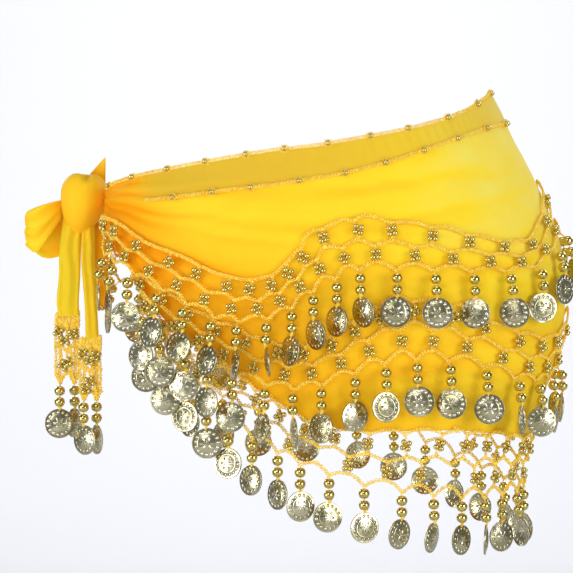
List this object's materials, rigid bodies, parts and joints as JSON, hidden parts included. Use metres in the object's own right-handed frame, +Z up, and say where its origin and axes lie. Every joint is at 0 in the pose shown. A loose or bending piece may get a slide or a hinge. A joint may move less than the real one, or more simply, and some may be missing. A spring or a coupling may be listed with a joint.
{
  "type": "belly dance hip scarf",
  "caption": "Gathered chiffon hip scarf tied at one side, with tiers of beaded net and hanging coins, in the open round form that it has when worn.",
  "frame": {"origin": "centre of the waist opening, level with the middle of the waist edge, where the wearer's hips hold the scarf", "axes": "+X away from the knot, to the high side of the scarf; -Y to the front; +Z up"},
  "size_m": [0.4155, 0.2632, 0.3466],
  "materials": {
    "chiffon": "thin gathered chiffon, bright yellow",
    "crochet_thread": "crocheted thread, light yellow",
    "gold": "pale antique gold beads and coins on yellow thread"
  },
  "bodies": {
    "root": {"cloth_front": "chiffon", "cloth_back": "chiffon", "knot": "chiffon", "knot_tip": "chiffon", "bow_loop": "chiffon", "tail_1": "chiffon", "tail_2": "chiffon", "tail_3": "chiffon", "waist_chain_front": "crochet_thread", "waist_chain_back": "crochet_thread", "fold_chain_front": "crochet_thread", "fold_chain_back": "crochet_thread", "tier1_net_front": "gold", "tier1_net_back": "gold", "tier2_net_front": "gold", "tier2_net_back": "gold", "tier3_net_front_1": "gold", "tier3_net_front_2": "gold", "tier3_net_front_3": "gold", "tier3_net_front_4": "gold", "tier3_net_back_1": "gold", "tier3_net_back_2": "gold", "tier3_net_back_3": "gold", "tail_net_1": "gold", "tail_net_2": "gold"}
  },
  "joints": []
}
